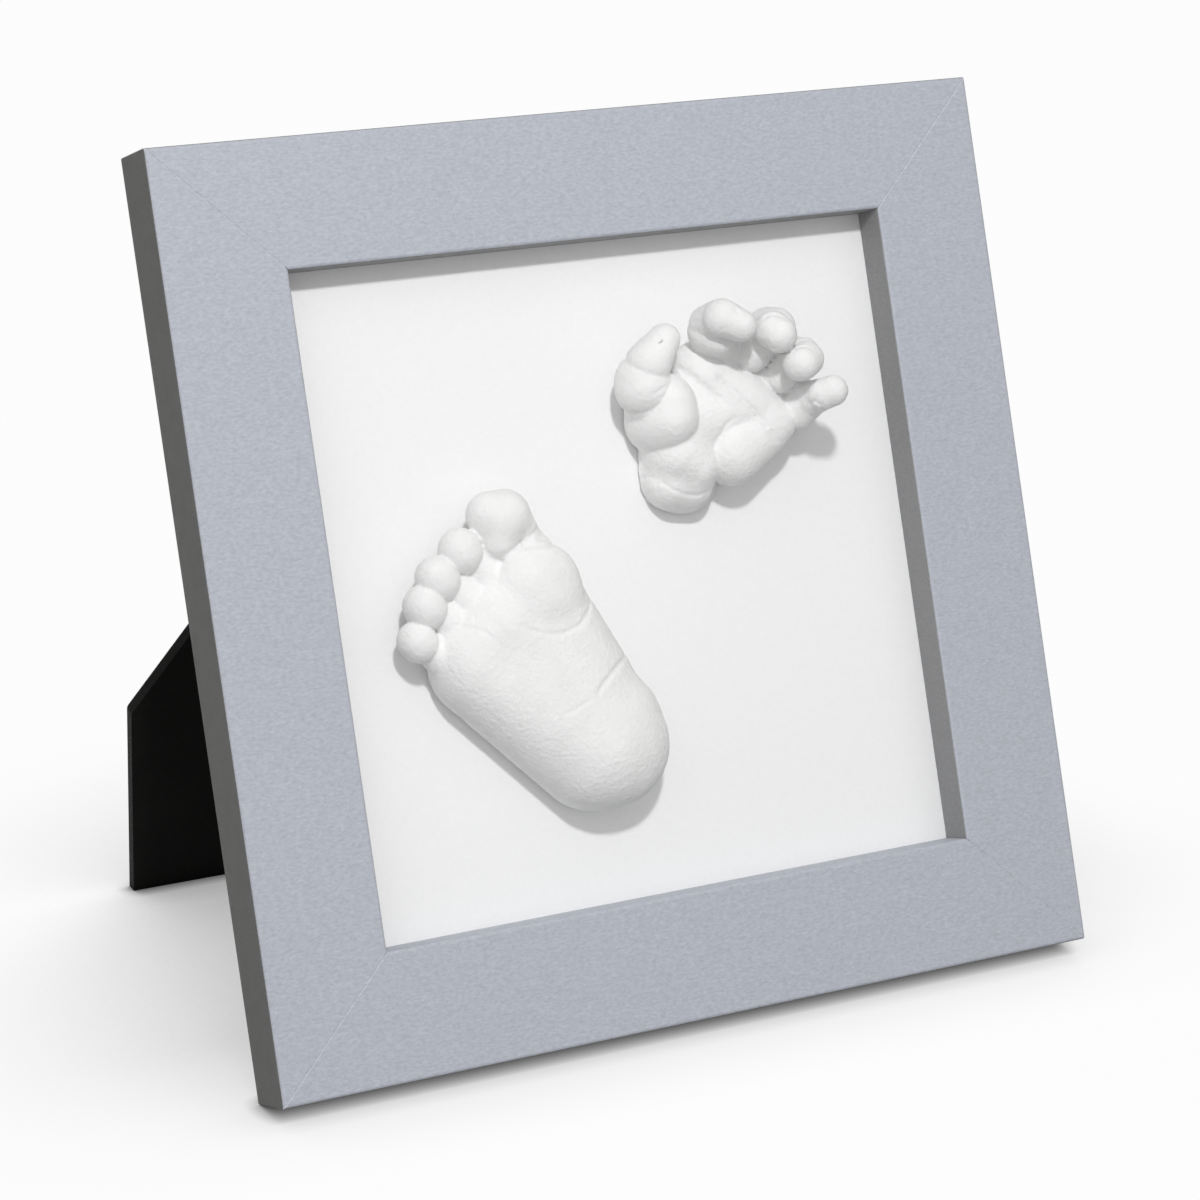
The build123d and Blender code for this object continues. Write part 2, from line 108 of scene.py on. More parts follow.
# Casts, in millimetres. A limb is how softly it joins the ones before it, its two round ends
# as along, across, height off the board and radius, and how much it is flattened towards the board.
# The foot is measured from its heel along its own axis, the hand from the middle of the board.
FOOT_HEEL_AT = (-12.2, -37.0)
FOOT_TURN = math.radians(38.0)
FOOT_LIMBS = {
    "middle": (1.0, (3.0, -0.8, 6.0, 12.4), (36.0, 0.5, 6.2, 10.0), 1.0),
    "outer_side": (4.0, (1.8, -4.6, 5.2, 12.6), (34.0, -10.6, 5.0, 9.6), 1.0),
    "inner_side": (4.0, (13.0, 5.0, 4.6, 11.4), (33.0, 10.4, 5.6, 10.0), 1.0),
    "behind_toes": (3.0, (39.0, 10.6, 6.4, 8.4), (37.5, -9.0, 5.6, 8.4), 1.0),
    "heel": (1.4, (0.6, -1.0, 7.4, 13.7), (4.0, 0.6, 7.4, 13.6), 1.25),
    "ball": (0.9, (37.2, 11.0, 11.5, 9.6), (35.6, 10.2, 11.5, 9.6), 1.7),
    "big_neck": (0.5, (45.8, 17.4, 6.0, 4.2), (41.6, 16.0, 6.8, 5.4), 1.0),
    "big_neck_inside": (0.5, (46.0, 11.7, 5.8, 4.6), (42.7, 13.1, 6.8, 5.6), 1.0),
    "second_neck": (0.5, (49.8, 6.2, 7.0, 3.9), (42.4, 5.1, 7.0, 5.0), 1.0),
    "third_neck": (0.5, (49.6, -1.0, 6.6, 3.8), (42.0, -1.1, 6.8, 5.0), 1.0),
    "fourth_neck": (0.5, (48.0, -7.2, 6.2, 3.7), (41.1, -7.1, 6.6, 4.8), 1.0),
    "little_neck": (0.5, (44.8, -14.5, 5.8, 3.5), (39.0, -13.6, 6.4, 4.8), 1.0),
    "big_toe": (0.2, (55.2, 14.6, 9.6, 5.2), (53.4, 17.0, 9.6, 5.0), 1.0),
    "big_toe_side": (2.5, (48.2, 18.1, 9.2, 3.3), (52.1, 17.2, 9.6, 4.8), 1.0),
    "big_toe_pad": (1.2, (50.2, 11.7, 10.2, 3.8), (52.5, 14.7, 9.9, 5.4), 1.0),
    "second_toe": (0.15, (55.0, 4.5, 9.0, 4.75), (54.4, 4.2, 9.0, 4.7), 1.0),
    "third_toe": (0.15, (54.6, -3.4, 8.5, 4.75), (53.9, -3.6, 8.5, 4.7), 1.0),
    "fourth_toe": (0.15, (52.4, -9.6, 8.0, 4.7), (51.8, -9.8, 8.0, 4.6), 1.0),
    "little_toe": (0.15, (48.5, -16.0, 7.4, 4.3), (47.7, -16.1, 7.4, 4.2), 1.0),
}
HAND_LIMBS = {
    "palm": (1.0, (16.2, 28.9, 5.0, 8.8), (29.4, 32.4, 5.2, 8.6), 1.0),
    "palm_heel": (4.5, (12.6, 22.4, 6.0, 5.8), (17.0, 19.8, 5.8, 5.7), 0.78),
    "wrist": (1.8, (12.4, 17.3, 4.3, 6.0), (16.3, 16.5, 4.0, 6.0), 1.0),
    "wrist_skirt": (2.5, (16.2, 20.2, -12.0, 16.0), (17.2, 19.4, -12.0, 16.0), 1.0),
    "outer_mound": (0.7, (26.6, 22.0, 7.6, 7.5), (33.8, 25.4, 7.4, 6.5), 1.0),
    "knuckles": (1.0, (26.8, 44.6, 5.0, 5.4), (46.6, 30.7, 5.0, 4.8), 1.0),
    "upper_palm": (2.5, (22.0, 38.6, 7.4, 6.0), (34.0, 27.9, 7.4, 5.8), 1.0),
    "finger_pads": (2.8, (20.6, 42.2, 6.8, 4.9), (38.0, 27.3, 8.4, 4.8), 1.0),
    "thumb_mound": (0.5, (11.0, 30.9, 6.6, 7.7), (11.2, 34.0, 6.6, 7.4), 0.75),
    "thumb_core": (0.5, (8.4, 43.6, 9.0, 4.4), (7.6, 35.6, 8.6, 5.8), 1.0),
    "thumb_middle": (0.15, (6.0, 38.4, 9.8, 6.3), (6.0, 39.9, 9.8, 6.1), 1.0),
    "thumb_tip": (0.15, (7.1, 43.4, 11.8, 5.1), (11.4, 48.2, 12.6, 3.5), 1.0),
    "index_root": (0.25, (28.1, 44.1, 8.0, 4.6), (22.6, 48.2, 12.5, 4.6), 1.0),
    "index_middle": (0.2, (21.7, 48.6, 13.5, 4.4), (22.8, 47.0, 15.5, 4.1), 1.0),
    "index_bend": (0.2, (21.6, 50.3, 14.5, 4.2), (22.1, 51.0, 19.0, 4.1), 1.0),
    "index_tip": (0.15, (21.7, 50.9, 21.0, 4.2), (25.3, 48.6, 22.5, 3.5), 1.0),
    "second_root": (0.2, (33.4, 42.8, 11.0, 4.1), (35.3, 45.8, 14.0, 4.2), 1.0),
    "second_middle": (0.15, (35.9, 48.1, 15.0, 4.4), (36.4, 47.7, 18.0, 4.3), 1.0),
    "second_tip": (0.15, (34.1, 47.0, 20.5, 4.2), (34.6, 45.7, 22.0, 4.0), 1.0),
    "ring_root": (0.2, (39.9, 37.4, 11.0, 4.1), (41.8, 40.3, 13.5, 4.2), 1.0),
    "ring_middle": (0.15, (42.0, 41.3, 14.0, 4.2), (42.5, 40.7, 17.0, 4.2), 1.0),
    "ring_tip": (0.15, (41.9, 39.8, 19.5, 4.0), (39.7, 39.0, 21.0, 4.0), 1.0),
    "little_root": (0.2, (43.4, 29.0, 9.6, 4.3), (45.3, 31.3, 13.0, 4.1), 1.0),
    "little_middle": (0.15, (45.2, 31.1, 14.0, 3.8), (45.7, 31.7, 17.0, 3.6), 1.0),
    "little_tip": (0.15, (45.5, 31.7, 18.5, 3.5), (47.2, 32.2, 20.0, 3.45), 1.0),
}

# Skin folds: depth, width, and the points that they run through, along and across the board.
FOOT_FOLDS = {
    "under_ball": (
        0.4, 0.5,
        ((35.6, 0.6), (33.2, 1.3), (30.2, 3.1), (27.3, 6.3), (25.8, 10.3), (25.9, 14.8), (26.8, 19.5)),
    ),
    "heel_edge": (0.5, 0.5, ((11.4, 16.5), (13.0, 10.8), (13.5, 8.0), (13.6, 5.3), (13.6, 3.1), (13.4, 1.0))),
    "heel_line": (0.25, 0.35, ((13.6, 0.8), (14.6, -3.3), (16.0, -7.6))),
    "over_ball": (0.35, 0.4, ((46.8, 11.8), (45.4, 14.5), (43.7, 16.6), (42.6, 17.6), (40.6, 20.8))),
    "under_big_toe": (0.4, 0.45, ((45.6, 20.8), (46.3, 16.2), (46.9, 12.6), (48.1, 9.3))),
    "sole_line": (0.3, 0.4, ((45.1, -8.4), (43.4, -7.2), (40.1, -5.9), (35.4, -5.9))),
}
HAND_FOLDS = {
    "life_line": (0.7, 0.6, ((15.7, 42.5), (16.9, 40.4), (18.8, 37.7), (21.6, 34.6), (23.9, 32.1))),
    "upper_line": (
        0.85, 0.65,
        ((22.2, 39.4), (24.3, 36.9), (26.9, 34.0), (29.9, 30.5), (32.2, 27.6), (33.7, 24.9), (36.0, 22.0)),
    ),
    "outer_edge": (0.4, 0.45, ((25.6, 29.5), (23.0, 27.8), (21.3, 25.4), (19.4, 22.6))),
    "thumb_wrinkle": (0.3, 0.35, ((4.3, 36.4), (6.7, 37.1), (9.1, 38.2))),
    "wrist_fold": (
        0.25, 0.4,
        ((6.2, 19.8), (8.0, 17.6), (10.1, 15.5), (12.8, 14.1), (16.0, 13.5), (20.5, 14.4)),
    ),
    "index_wrinkle": (0.3, 0.3, ((22.1, 52.2), (23.4, 51.6), (24.3, 50.6))),
    "second_fold": (0.35, 0.3, ((30.6, 48.9), (32.3, 50.1), (34.2, 50.1), (35.6, 48.7))),
    "second_low_fold": (0.35, 0.3, ((30.4, 45.2), (31.5, 43.4), (33.1, 42.3))),
    "ring_fold": (0.35, 0.3, ((36.8, 41.6), (38.4, 42.4), (40.5, 42.4), (41.8, 41.1))),
    "little_fold": (0.35, 0.3, ((42.8, 32.2), (42.7, 30.4), (44.8, 28.2))),
}

# Beads left by air in the mould: along, across and radius. A radius below zero is a hole.
FOOT_BEADS = {"sole_hole": (20.4, -4.0, -0.35), "ball_bead": (33.4, 6.8, 0.3)}
HAND_BEADS = {
    "palm_bead": (18.3, 21.1, 0.55),
    "wrist_bead": (14.6, 14.7, 0.3),
    "edge_bead": (33.6, 25.9, 0.3),
    "heel_bead": (7.9, 17.7, 0.3),
    "thumb_hole": (8.3, 48.3, -1.1),
}


class FrameSizes(bpy.types.PropertyGroup):
    """Sizes of the frame's moulding."""

    side: FloatProperty(
        name="Frame side", description="Outside width and height of the frame", default=FRAME_SIDE,
        unit="LENGTH"
    )
    rail_face: FloatProperty(
        name="Rail face", description="Width of a rail seen from the front", default=0.028, unit="LENGTH"
    )
    rail_depth: FloatProperty(
        name="Rail depth", description="Depth of a rail from front to back", default=0.0145, unit="LENGTH"
    )
    rebate: FloatProperty(
        name="Rebate", description="Width of the step that holds the board", default=0.006, unit="LENGTH"
    )
    lip_depth: FloatProperty(
        name="Lip depth", description="From the frame's front to the board", default=0.009, unit="LENGTH"
    )
    wrap_thick: FloatProperty(
        name="Wrap thickness", description="Thickness of the paper wrap", default=0.0004, unit="LENGTH"
    )
    edge_round: FloatProperty(
        name="Edge rounding", description="Rounding of the wrap's front edges", default=0.0009,
        unit="LENGTH"
    )
    mitre_slope: FloatProperty(
        name="Mitre slope", description="Width of the wrap's sloping cut edge at each mitre", default=0.0006,
        unit="LENGTH"
    )
    board_round: FloatProperty(
        name="Board edge", description="Softening of the strut's edges", default=0.0004, unit="LENGTH"
    )
    metal_round: FloatProperty(
        name="Metal edge", description="Softening of the hardware's edges", default=0.00015, unit="LENGTH"
    )


class CastSizes(bpy.types.PropertyGroup):
    """Sizes of the plaster casts."""

    glue: FloatProperty(
        name="Glue", description="Gap that the glue fills behind a cast", default=0.0004, unit="LENGTH"
    )
    grain: FloatProperty(
        name="Modelling grain", description="Spacing of the cast's surface points", default=0.00033,
        unit="LENGTH"
    )
    skin: FloatProperty(
        name="Skin texture", description="Height of the fine unevenness", default=0.00026, unit="LENGTH"
    )
    skin_scale: FloatProperty(
        name="Skin scale", description="Width of the fine unevenness", default=0.0008, unit="LENGTH"
    )
    rounds: IntProperty(name="Rounds", description="Passes that settle the surface", default=4, min=1)


class Finishes(bpy.types.PropertyGroup):
    """Colours of the finishes."""

    wrap: FloatVectorProperty(
        name="Wrap", description="Grey paper wrap", default=(0.462, 0.483, 0.537), subtype="COLOR"
    )
    # Painted shade: the wrap's grey made darker where it turns to the outside, away from the light.
    wrap_shaded_side: FloatVectorProperty(
        name="Wrap sides", description="The wrap where it turns to the outside",
        default=(0.178, 0.177, 0.175), subtype="COLOR"
    )
    # Painted shade: the wrap's grey made darker where it turns in to the board; the bottom rail's up-facing
    # inner wall keeps the front's tone.
    wrap_shaded_inner: FloatVectorProperty(
        name="Wrap inside", description="The wrap where it turns in to the board",
        default=(0.280, 0.281, 0.286), subtype="COLOR"
    )
    # Painted highlight: the wrap's grey made lighter on the sloping cut edge along the mitres, where light
    # catches it.
    wrap_highlight_edge: FloatVectorProperty(
        name="Wrap edge", description="The wrap's cut edge along the mitres",
        default=(0.560, 0.578, 0.628), subtype="COLOR"
    )
    plaster: FloatVectorProperty(
        name="Plaster", description="White plaster", default=(0.895, 0.895, 0.892), subtype="COLOR"
    )
    board: FloatVectorProperty(
        name="Board", description="White display board", default=(0.900, 0.900, 0.900), subtype="COLOR"
    )
    black: FloatVectorProperty(
        name="Black board", description="Back panel and strut", default=(0.0075, 0.0071, 0.0066),
        subtype="COLOR"
    )
    fibre: FloatVectorProperty(
        name="Fibreboard", description="Bare rail cores", default=(0.330, 0.225, 0.130), subtype="COLOR"
    )
    steel: FloatVectorProperty(
        name="Steel", description="Hinge, rivets, nails and points", default=(0.560, 0.565, 0.575),
        subtype="COLOR"
    )
    glue: FloatVectorProperty(
        name="Glue", description="Glue behind the casts", default=(0.700, 0.690, 0.620), subtype="COLOR"
    )


class StageSettings(bpy.types.PropertyGroup):
    """Camera, lamp, surroundings and floor."""

    camera_at: FloatVectorProperty(
        name="Camera", description="Place of the camera, from the upright frame's bottom front edge",
        default=(-0.36382, -0.71345, 0.11049), subtype="XYZ"
    )
    camera_aim: FloatVectorProperty(
        name="Aim", description="Point in the picture's middle, from the same edge",
        default=(-0.01129, 0.0, 0.09408), subtype="XYZ"
    )
    camera_roll: FloatProperty(
        name="Roll", description="Turn of the camera about its view", default=math.radians(2.07),
        subtype="ANGLE"
    )
    lens: FloatProperty(name="Lens", description="Focal length in millimetres", default=110.37)
    key_tilt: FloatProperty(
        name="Key tilt", description="Height of the key lamp over the face's normal",
        default=math.radians(28.0), subtype="ANGLE"
    )
    key_side: FloatProperty(
        name="Key side", description="Turn of the key lamp to the right", default=math.radians(-16.0),
        subtype="ANGLE"
    )
    key_far: FloatProperty(
        name="Key distance", description="From the key lamp to the frame", default=0.90, unit="LENGTH"
    )
    key_size: FloatProperty(
        name="Key size", description="Width of the key lamp", default=0.06, unit="LENGTH"
    )
    key_power: FloatProperty(
        name="Key power", description="Power of the key lamp", default=3.95, unit="POWER"
    )
    bright_side: FloatVectorProperty(
        name="Bright side", description="Light of the surroundings before the frame",
        default=(0.72, 0.72, 0.72), subtype="COLOR"
    )
    dim_side: FloatVectorProperty(
        name="Dim side", description="Light of the surroundings behind it",
        default=(0.10, 0.09, 0.075), subtype="COLOR"
    )
    bright_way: FloatVectorProperty(
        name="Bright way", description="Where the bright side lies, from the upright frame",
        default=(-0.25, -0.95, -0.1), subtype="XYZ"
    )
    contact: FloatProperty(
        name="Contact", description="Reach of the close shadow on the floor", default=0.0038, unit="LENGTH"
    )
    shade: FloatProperty(
        name="Shade", description="Reach of the wide soft shadow behind the frame", default=0.09,
        unit="LENGTH"
    )
    shade_starts: FloatProperty(
        name="Shade starts", description="How far back the wide shadow starts", default=-0.085,
        unit="LENGTH"
    )
    shade_full: FloatProperty(
        name="Shade full", description="How far back the wide shadow is full", default=-0.02, unit="LENGTH"
    )
    floor: FloatVectorProperty(
        name="Floor", description="Colour of the floor", default=(0.42, 0.42, 0.42), subtype="COLOR"
    )


def standing(sizes):
    """The shift and turn from the upright frame to the leaning one: it stands on its back's bottom edge."""
    up_face = Vector((0.0, math.sin(LEAN), math.cos(LEAN)))
    half_back = (sizes.rail_face - sizes.rebate) / 2
    edge = Vector(BACK_MOUNT["pos_m"]) - up_face * half_back
    turn = Matrix.Rotation(-LEAN, 4, "X")
    return Matrix.Translation(edge) @ turn @ Matrix.Translation((0.0, -sizes.rail_depth, 0.0))


def only(obj):
    """Selects this object alone and makes it active."""
    bpy.ops.object.select_all(action="DESELECT")
    obj.select_set(True)
    bpy.context.view_layer.objects.active = obj


def new_piece(name):
    """Names the object that was just added."""
    obj = bpy.context.active_object
    obj.name = name
    obj.data.name = name
    return obj


def settle(obj):
    """Applies an object's own place, turn and scale to its mesh."""
    only(obj)
    bpy.ops.object.transform_apply(location=True, rotation=True, scale=True)
    return obj


def modified(obj, kind, **settings):
    """Adds a modifier with these settings and applies it."""
    only(obj)
    modifier = obj.modifiers.new(kind.title(), kind)
    for setting, value in settings.items():
        setattr(modifier, setting, value)
    bpy.ops.object.modifier_apply(modifier=modifier.name)


def pick_edges(obj, wanted):
    """In edit mode, selects the edges whose two ends both pass a test."""
    bpy.ops.mesh.select_all(action="DESELECT")
    bpy.ops.object.mode_set(mode="OBJECT")
    points = obj.data.vertices
    for edge in obj.data.edges:
        edge.select = all(wanted(points[index].co) for index in edge.vertices)
    bpy.ops.object.mode_set(mode="EDIT")
    bpy.ops.mesh.select_mode(type="EDGE")


def placed_copy(obj, name, matrix):
    """A copy with its own mesh, moved there."""
    twin = obj.copy()
    twin.data = obj.data.copy()
    twin.name = name
    twin.data.name = name
    twin.data.transform(matrix)
    bpy.context.collection.objects.link(twin)
    return twin


def dressed(obj, material, slot, body, *nodes):
    """Gives a finished piece its material, its body and the CAD nodes that it stands for."""
    obj.data.materials.clear()
    obj.data.materials.append(material)
    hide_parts(*nodes)
    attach(obj, body)


def softened(node, name, width, material, slot, body):
    """A copy of a CAD node with its flat faces joined up and its edges rounded, in place of the node."""
    source = frame["nodes"][node]
    obj = source.copy()
    obj.data = source.data.copy()
    obj.parent = None
    obj.matrix_world = Matrix.Identity(4)
    for key in list(obj.keys()):
        del obj[key]
    obj.name = name
    obj.data.name = name
    bpy.context.collection.objects.link(obj)
    only(obj)
    bpy.ops.object.mode_set(mode="EDIT")
    bpy.ops.mesh.select_all(action="SELECT")
    bpy.ops.mesh.remove_doubles(threshold=SAME_PLACE)
    bpy.ops.mesh.dissolve_limited(angle_limit=FLAT_ANGLE)
    bpy.ops.object.mode_set(mode="OBJECT")
    modified(obj, "BEVEL", width=width, segments=2, limit_method="ANGLE", angle_limit=SHARP_ANGLE)
    bpy.ops.object.shade_smooth_by_angle(angle=SHARP_ANGLE)
    modified(obj, "WEIGHTED_NORMAL", keep_sharp=True)
    dressed(obj, material, slot, body, node)


def new_finish(name, roughness, metallic=0.0, specular=0.5):
    """An empty material with its shader's even values set."""
    material = bpy.data.materials.get(name) or bpy.data.materials.new(name)
    material.use_nodes = True
    tree = material.node_tree
    tree.nodes.clear()
    shader = tree.nodes.new("ShaderNodeBsdfPrincipled")
    output = tree.nodes.new("ShaderNodeOutputMaterial")
    tree.links.new(shader.outputs["BSDF"], output.inputs["Surface"])
    shader.inputs["Roughness"].default_value = roughness
    shader.inputs["Metallic"].default_value = metallic
    shader.inputs["Specular IOR Level"].default_value = specular
    return material, tree, shader


def noise(tree, scale, detail=4.0, roughness=0.6, stretch=(1.0, 1.0, 1.0)):
    """Noise on the object's own coordinates, stretched along its axes."""
    place = tree.nodes.new("ShaderNodeTexCoord")
    mapping = tree.nodes.new("ShaderNodeMapping")
    mapping.inputs["Scale"].default_value = stretch
    texture = tree.nodes.new("ShaderNodeTexNoise")
    texture.inputs["Scale"].default_value = scale
    texture.inputs["Detail"].default_value = detail
    texture.inputs["Roughness"].default_value = roughness
    tree.links.new(place.outputs["Object"], mapping.inputs["Vector"])
    tree.links.new(mapping.outputs["Vector"], texture.inputs["Vector"])
    return texture.outputs["Fac"]


def pits(tree, scale, size):
    """Small round bubbles: one inside a bubble and falling to nothing at its rim."""
    place = tree.nodes.new("ShaderNodeTexCoord")
    texture = tree.nodes.new("ShaderNodeTexVoronoi")
    texture.inputs["Scale"].default_value = scale
    bounds = tree.nodes.new("ShaderNodeMapRange")
    bounds.interpolation_type = "SMOOTHSTEP"
    bounds.inputs["From Min"].default_value = 0.0
    bounds.inputs["From Max"].default_value = size
    bounds.inputs["To Min"].default_value = 1.0
    bounds.inputs["To Max"].default_value = 0.0
    tree.links.new(place.outputs["Object"], texture.inputs["Vector"])
    tree.links.new(texture.outputs["Distance"], bounds.inputs["Value"])
    return bounds.outputs["Result"]


def spread(tree, source, low, high, dark, light):
    """Maps one range of numbers onto another."""
    bounds = tree.nodes.new("ShaderNodeMapRange")
    bounds.inputs["From Min"].default_value = low
    bounds.inputs["From Max"].default_value = high
    bounds.inputs["To Min"].default_value = dark
    bounds.inputs["To Max"].default_value = light
    tree.links.new(source, bounds.inputs["Value"])
    return bounds.outputs["Result"]


def toned(tree, source, colour, dark, light):
    """A colour that a pattern takes between a darker and a lighter tone of itself."""
    ramp = tree.nodes.new("ShaderNodeValToRGB")
    ramp.color_ramp.elements[0].position = PATTERN_LOW
    ramp.color_ramp.elements[1].position = PATTERN_HIGH
    ramp.color_ramp.elements[0].color = [channel * dark for channel in colour] + [1.0]
    ramp.color_ramp.elements[1].color = [min(channel * light, 1.0) for channel in colour] + [1.0]
    tree.links.new(source, ramp.inputs["Fac"])
    return ramp.outputs["Color"]


def raised(tree, shader, source, distance, under=None):
    """Bump from a pattern, over another bump where one is given."""
    bump = tree.nodes.new("ShaderNodeBump")
    bump.inputs["Strength"].default_value = 1.0
    bump.inputs["Distance"].default_value = distance
    tree.links.new(source, bump.inputs["Height"])
    if under:
        tree.links.new(under.outputs["Normal"], bump.inputs["Normal"])
    tree.links.new(bump.outputs["Normal"], shader.inputs["Normal"])
    return bump


def wrap_paper(name, colour):
    """Matte grey paper with short fine fibres."""
    material, tree, shader = new_finish(name, 0.6, specular=0.12)
    fine = noise(tree, 1800.0, detail=4.0, roughness=0.75, stretch=(0.45, 1.0, 1.0))
    tree.links.new(toned(tree, fine, colour, 0.86, 1.14), shader.inputs["Base Color"])
    gloss = spread(tree, noise(tree, 300.0), PATTERN_LOW, PATTERN_HIGH, 0.5, 0.6)
    tree.links.new(gloss, shader.inputs["Roughness"])
    raised(tree, shader, fine, 0.00006)
    return material


def white_plaster(colours):
    """Dry white plaster with a little unevenness and a few small bubbles."""
    material, tree, shader = new_finish("white_plaster", 0.9, specular=0.1)
    broad = noise(tree, 160.0, detail=6.0)
    tree.links.new(toned(tree, broad, colours.plaster, 0.965, 1.02), shader.inputs["Base Color"])
    grain = raised(tree, shader, noise(tree, 1800.0, detail=5.0, roughness=0.7), 0.0002)
    raised(tree, shader, pits(tree, 260.0, 0.09), -0.00006, under=grain)
    return material


def white_card(colours):
    """Smooth white mount board."""
    material, tree, shader = new_finish("white_card", 0.8, specular=0.12)
    fine = noise(tree, 900.0, detail=5.0)
    tree.links.new(toned(tree, fine, colours.board, 0.985, 1.01), shader.inputs["Base Color"])
    raised(tree, shader, fine, 0.000012)
    return material


def black_board(colours):
    """Black faced board with a faint tooth."""
    material, tree, shader = new_finish("black_faced_board", 0.6, specular=0.06)
    tooth = noise(tree, 1100.0, detail=5.0)
    tree.links.new(toned(tree, noise(tree, 90.0), colours.black, 0.8, 1.35), shader.inputs["Base Color"])
    gloss = spread(tree, tooth, PATTERN_LOW, PATTERN_HIGH, 0.52, 0.68)
    tree.links.new(gloss, shader.inputs["Roughness"])
    raised(tree, shader, tooth, 0.00004)
    return material


def bare_fibreboard(colours):
    """Brown fibreboard with short fibres."""
    material, tree, shader = new_finish("bare_fibreboard", 0.85, specular=0.2)
    fibres = noise(tree, 900.0, detail=8.0, roughness=0.75)
    tree.links.new(toned(tree, fibres, colours.fibre, 0.75, 1.25), shader.inputs["Base Color"])
    raised(tree, shader, fibres, 0.00008)
    return material


def brushed_steel(colours):
    """Zinc plated steel, brushed along its length."""
    material, tree, shader = new_finish("plated_steel", 0.35, metallic=1.0)
    brushing = noise(tree, 900.0, detail=4.0, stretch=(0.06, 1.0, 1.0))
    tree.links.new(toned(tree, brushing, colours.steel, 0.85, 1.12), shader.inputs["Base Color"])
    gloss = spread(tree, brushing, PATTERN_LOW, PATTERN_HIGH, 0.28, 0.45)
    tree.links.new(gloss, shader.inputs["Roughness"])
    raised(tree, shader, brushing, 0.00001)
    return material


def set_glue(colours):
    """Set glue, a little glossy."""
    material, tree, shader = new_finish("set_glue", 0.3)
    tree.links.new(toned(tree, noise(tree, 200.0), colours.glue, 0.9, 1.05), shader.inputs["Base Color"])
    raised(tree, shader, noise(tree, 120.0), 0.0002)
    return material


def on_board(x, z, height, sizes):
    """A place on the upright board, in millimetres: across and up from its middle, and off its face."""
    return np.array((x, sizes.lip_depth / MM - height, sizes.side / MM / 2 + z))


def on_foot(along, across, height, sizes):
    """A place on the foot cast: from the heel along the foot, across it, and off the board."""
    x = FOOT_HEEL_AT[0] - along * math.sin(FOOT_TURN) + across * math.cos(FOOT_TURN)
    z = FOOT_HEEL_AT[1] + along * math.cos(FOOT_TURN) + across * math.sin(FOOT_TURN)
    return on_board(x, z, height, sizes)


def limb_distance(points, start, end, start_radius, end_radius, flatness):
    """How far points are from a tapered limb with round ends."""
    stretch = np.array((1.0, flatness, 1.0))
    start = start * stretch
    axis = end * stretch - start
    length = np.linalg.norm(axis)
    axis = axis / length
    reach = points * stretch - start
    along = reach @ axis
    out = np.linalg.norm(reach - along[:, None] * axis, axis=1)
    slope = (start_radius - end_radius) / length
    nearest = np.clip(along - out * slope / math.sqrt(1.0 - slope * slope), 0.0, length)
    return (np.hypot(along - nearest, out) - start_radius + slope * nearest) / flatness


def fold_depth(points, depth, width, line):
    """How deep a skin fold presses in at these points, fading out at its two ends."""
    seen = points[:, (0, 2)]
    pressed = np.zeros(len(points))
    last = len(line) - 2
    for index in range(last + 1):
        start = line[index]
        run = line[index + 1] - start
        along = np.clip((seen - start) @ run / (run @ run), 0.0, 1.0)
        away = np.linalg.norm(seen - start - along[:, None] * run, axis=1)
        fade = np.ones(len(points))
        if index == 0:
            fade = np.minimum(fade, along + FOLD_END)
        if index == last:
            fade = np.minimum(fade, 1.0 + FOLD_END - along)
        inwards = depth * np.clip(fade, 0.0, 1.0) * np.exp(-((away / width) ** FOLD_FALL))
        pressed = np.maximum(pressed, inwards)
    return pressed


def cast_distance(points, limbs, folds, beads, back):
    """How far points are from the cast: its limbs blended in order, folds and beads, and a flat back."""
    whole = None
    for softness, start, end, start_radius, end_radius, flatness in limbs:
        each = limb_distance(points, start, end, start_radius, end_radius, flatness)
        if whole is None:
            whole = each
            continue
        share = np.clip(0.5 + 0.5 * (each - whole) / softness, 0.0, 1.0)
        whole = each * (1.0 - share) + whole * share - softness * share * (1.0 - share)
    pressed = np.zeros(len(points))
    for depth, width, line in folds:
        pressed = np.maximum(pressed, fold_depth(points, depth, width, line))
    whole = whole + pressed
    for centre, radius in beads:
        away = np.linalg.norm(points - centre, axis=1) - abs(radius)
        whole = np.minimum(whole, away) if radius > 0.0 else np.maximum(whole, -away)
    return np.maximum(whole, points[:, 1] - back)


def pressed_to_shape(obj, rounds, *shape):
    """Moves the surface of a cast, point by point, onto its blended shape."""
    count = len(obj.data.vertices)
    flat = np.empty(count * 3)
    obj.data.vertices.foreach_get("co", flat)
    points = flat.reshape(count, 3) / MM
    for _ in range(rounds):
        away = cast_distance(points, *shape)
        slope = np.empty_like(points)
        for axis in range(3):
            step = np.zeros(3)
            step[axis] = SLOPE_STEP
            slope[:, axis] = (cast_distance(points + step, *shape) - away) / SLOPE_STEP
        steep = np.maximum((slope**2).sum(axis=1), LEAST_STEEPNESS)
        move = np.clip(away / steep, -LONGEST_MOVE, LONGEST_MOVE)
        points = points - slope * move[:, None] * MOVE_SHARE
    obj.data.vertices.foreach_set("co", (points * MM).ravel())
    obj.data.update()


def lying_on(limbs, folds, back, column):
    """The outermost point of a column of places, listed from the board outwards, that is inside the cast."""
    inside = cast_distance(column, limbs, folds, (), back) < 0.0
    return column[np.flatnonzero(inside)[-1]]


